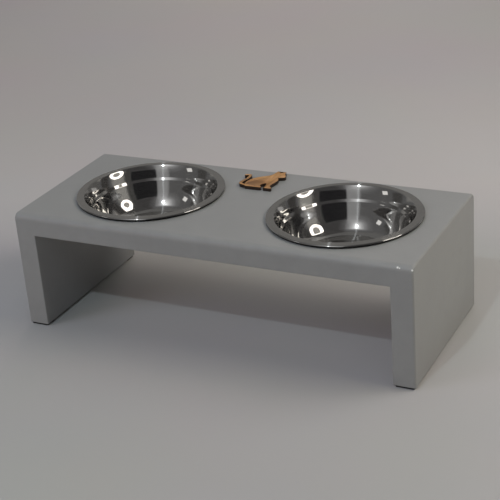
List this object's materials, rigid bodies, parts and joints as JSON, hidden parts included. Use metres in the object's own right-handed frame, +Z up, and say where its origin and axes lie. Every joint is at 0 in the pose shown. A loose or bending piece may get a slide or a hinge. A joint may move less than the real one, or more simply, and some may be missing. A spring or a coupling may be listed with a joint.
{
  "type": "double cat bowl",
  "caption": "Low raised feeder for cats: a painted board stand whose top holds polished steel bowls that lift out of round holes.",
  "frame": {"origin": "on the floor under the middle of the stand", "axes": "+X along the stand to its right end, +Y to the back, +Z up"},
  "size_m": [0.38, 0.16, 0.1153],
  "materials": {
    "painted_board": "satin",
    "dowel": "matte",
    "foot_pad": "matte",
    "polished_steel": "polished",
    "cut_plywood": "satin"
  },
  "bodies": {
    "stand": {"top_board": "painted_board", "left_side_board": "painted_board", "right_side_board": "painted_board", "left_dowels": "dowel", "right_dowels": "dowel", "front_left_pad": "foot_pad", "back_left_pad": "foot_pad", "front_right_pad": "foot_pad", "back_right_pad": "foot_pad", "cat_emblem": "cut_plywood"},
    "left_bowl": {"left_bowl": "polished_steel"},
    "right_bowl": {"right_bowl": "polished_steel"}
  },
  "joints": [
    {"name": "left_bowl_lift", "type": "slide", "parent": "stand", "child": "left_bowl", "axis": [0, 0, 1], "range_m": [0, 0.06]},
    {"name": "right_bowl_lift", "type": "slide", "parent": "stand", "child": "right_bowl", "axis": [0, 0, 1], "range_m": [0, 0.06]}
  ]
}
